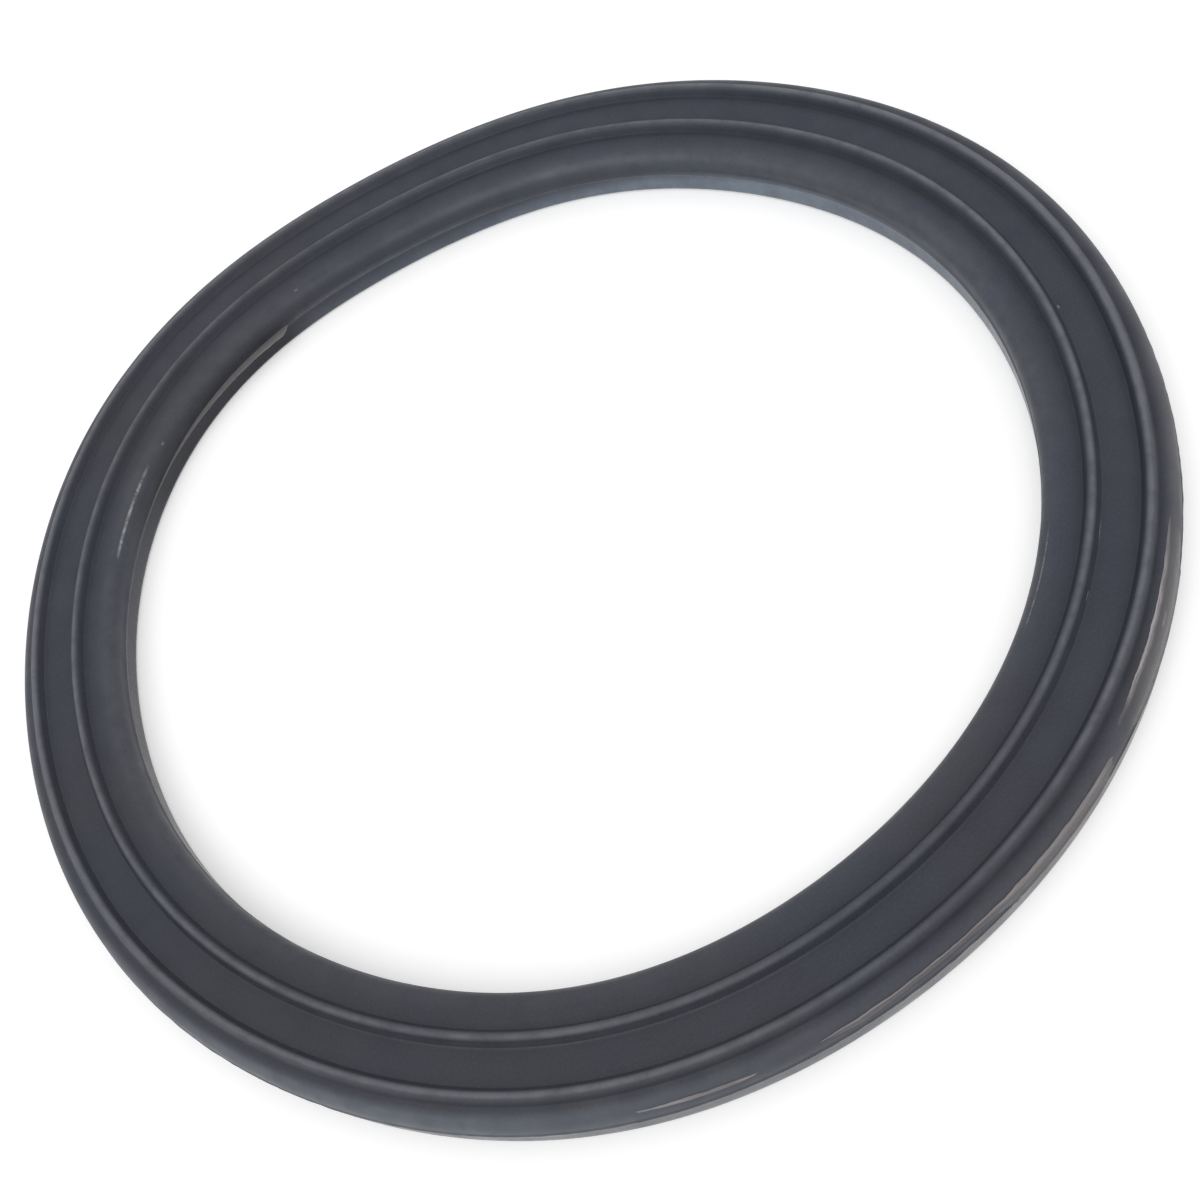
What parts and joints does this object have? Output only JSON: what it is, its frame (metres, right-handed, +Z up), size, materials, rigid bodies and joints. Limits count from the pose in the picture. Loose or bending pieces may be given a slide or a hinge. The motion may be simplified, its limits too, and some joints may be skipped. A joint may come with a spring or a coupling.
{
  "type": "bowl gasket",
  "caption": "Round moulded rubber gasket ring with two raised sealing ribs on its upper face, a plain bore and a flat underside.",
  "frame": {"origin": "on the ring's axis, at the level of the flat underside", "axes": "+Z up along the ring's axis, with the ribs on top; X and Y lie in the plane of the ring"},
  "size_m": [0.18, 0.18, 0.009],
  "materials": {
    "rubber": "satin moulded rubber, dark blue-grey, with trimmed mould flash"
  },
  "bodies": {
    "root": {"gasket_ring": "rubber"}
  },
  "joints": []
}
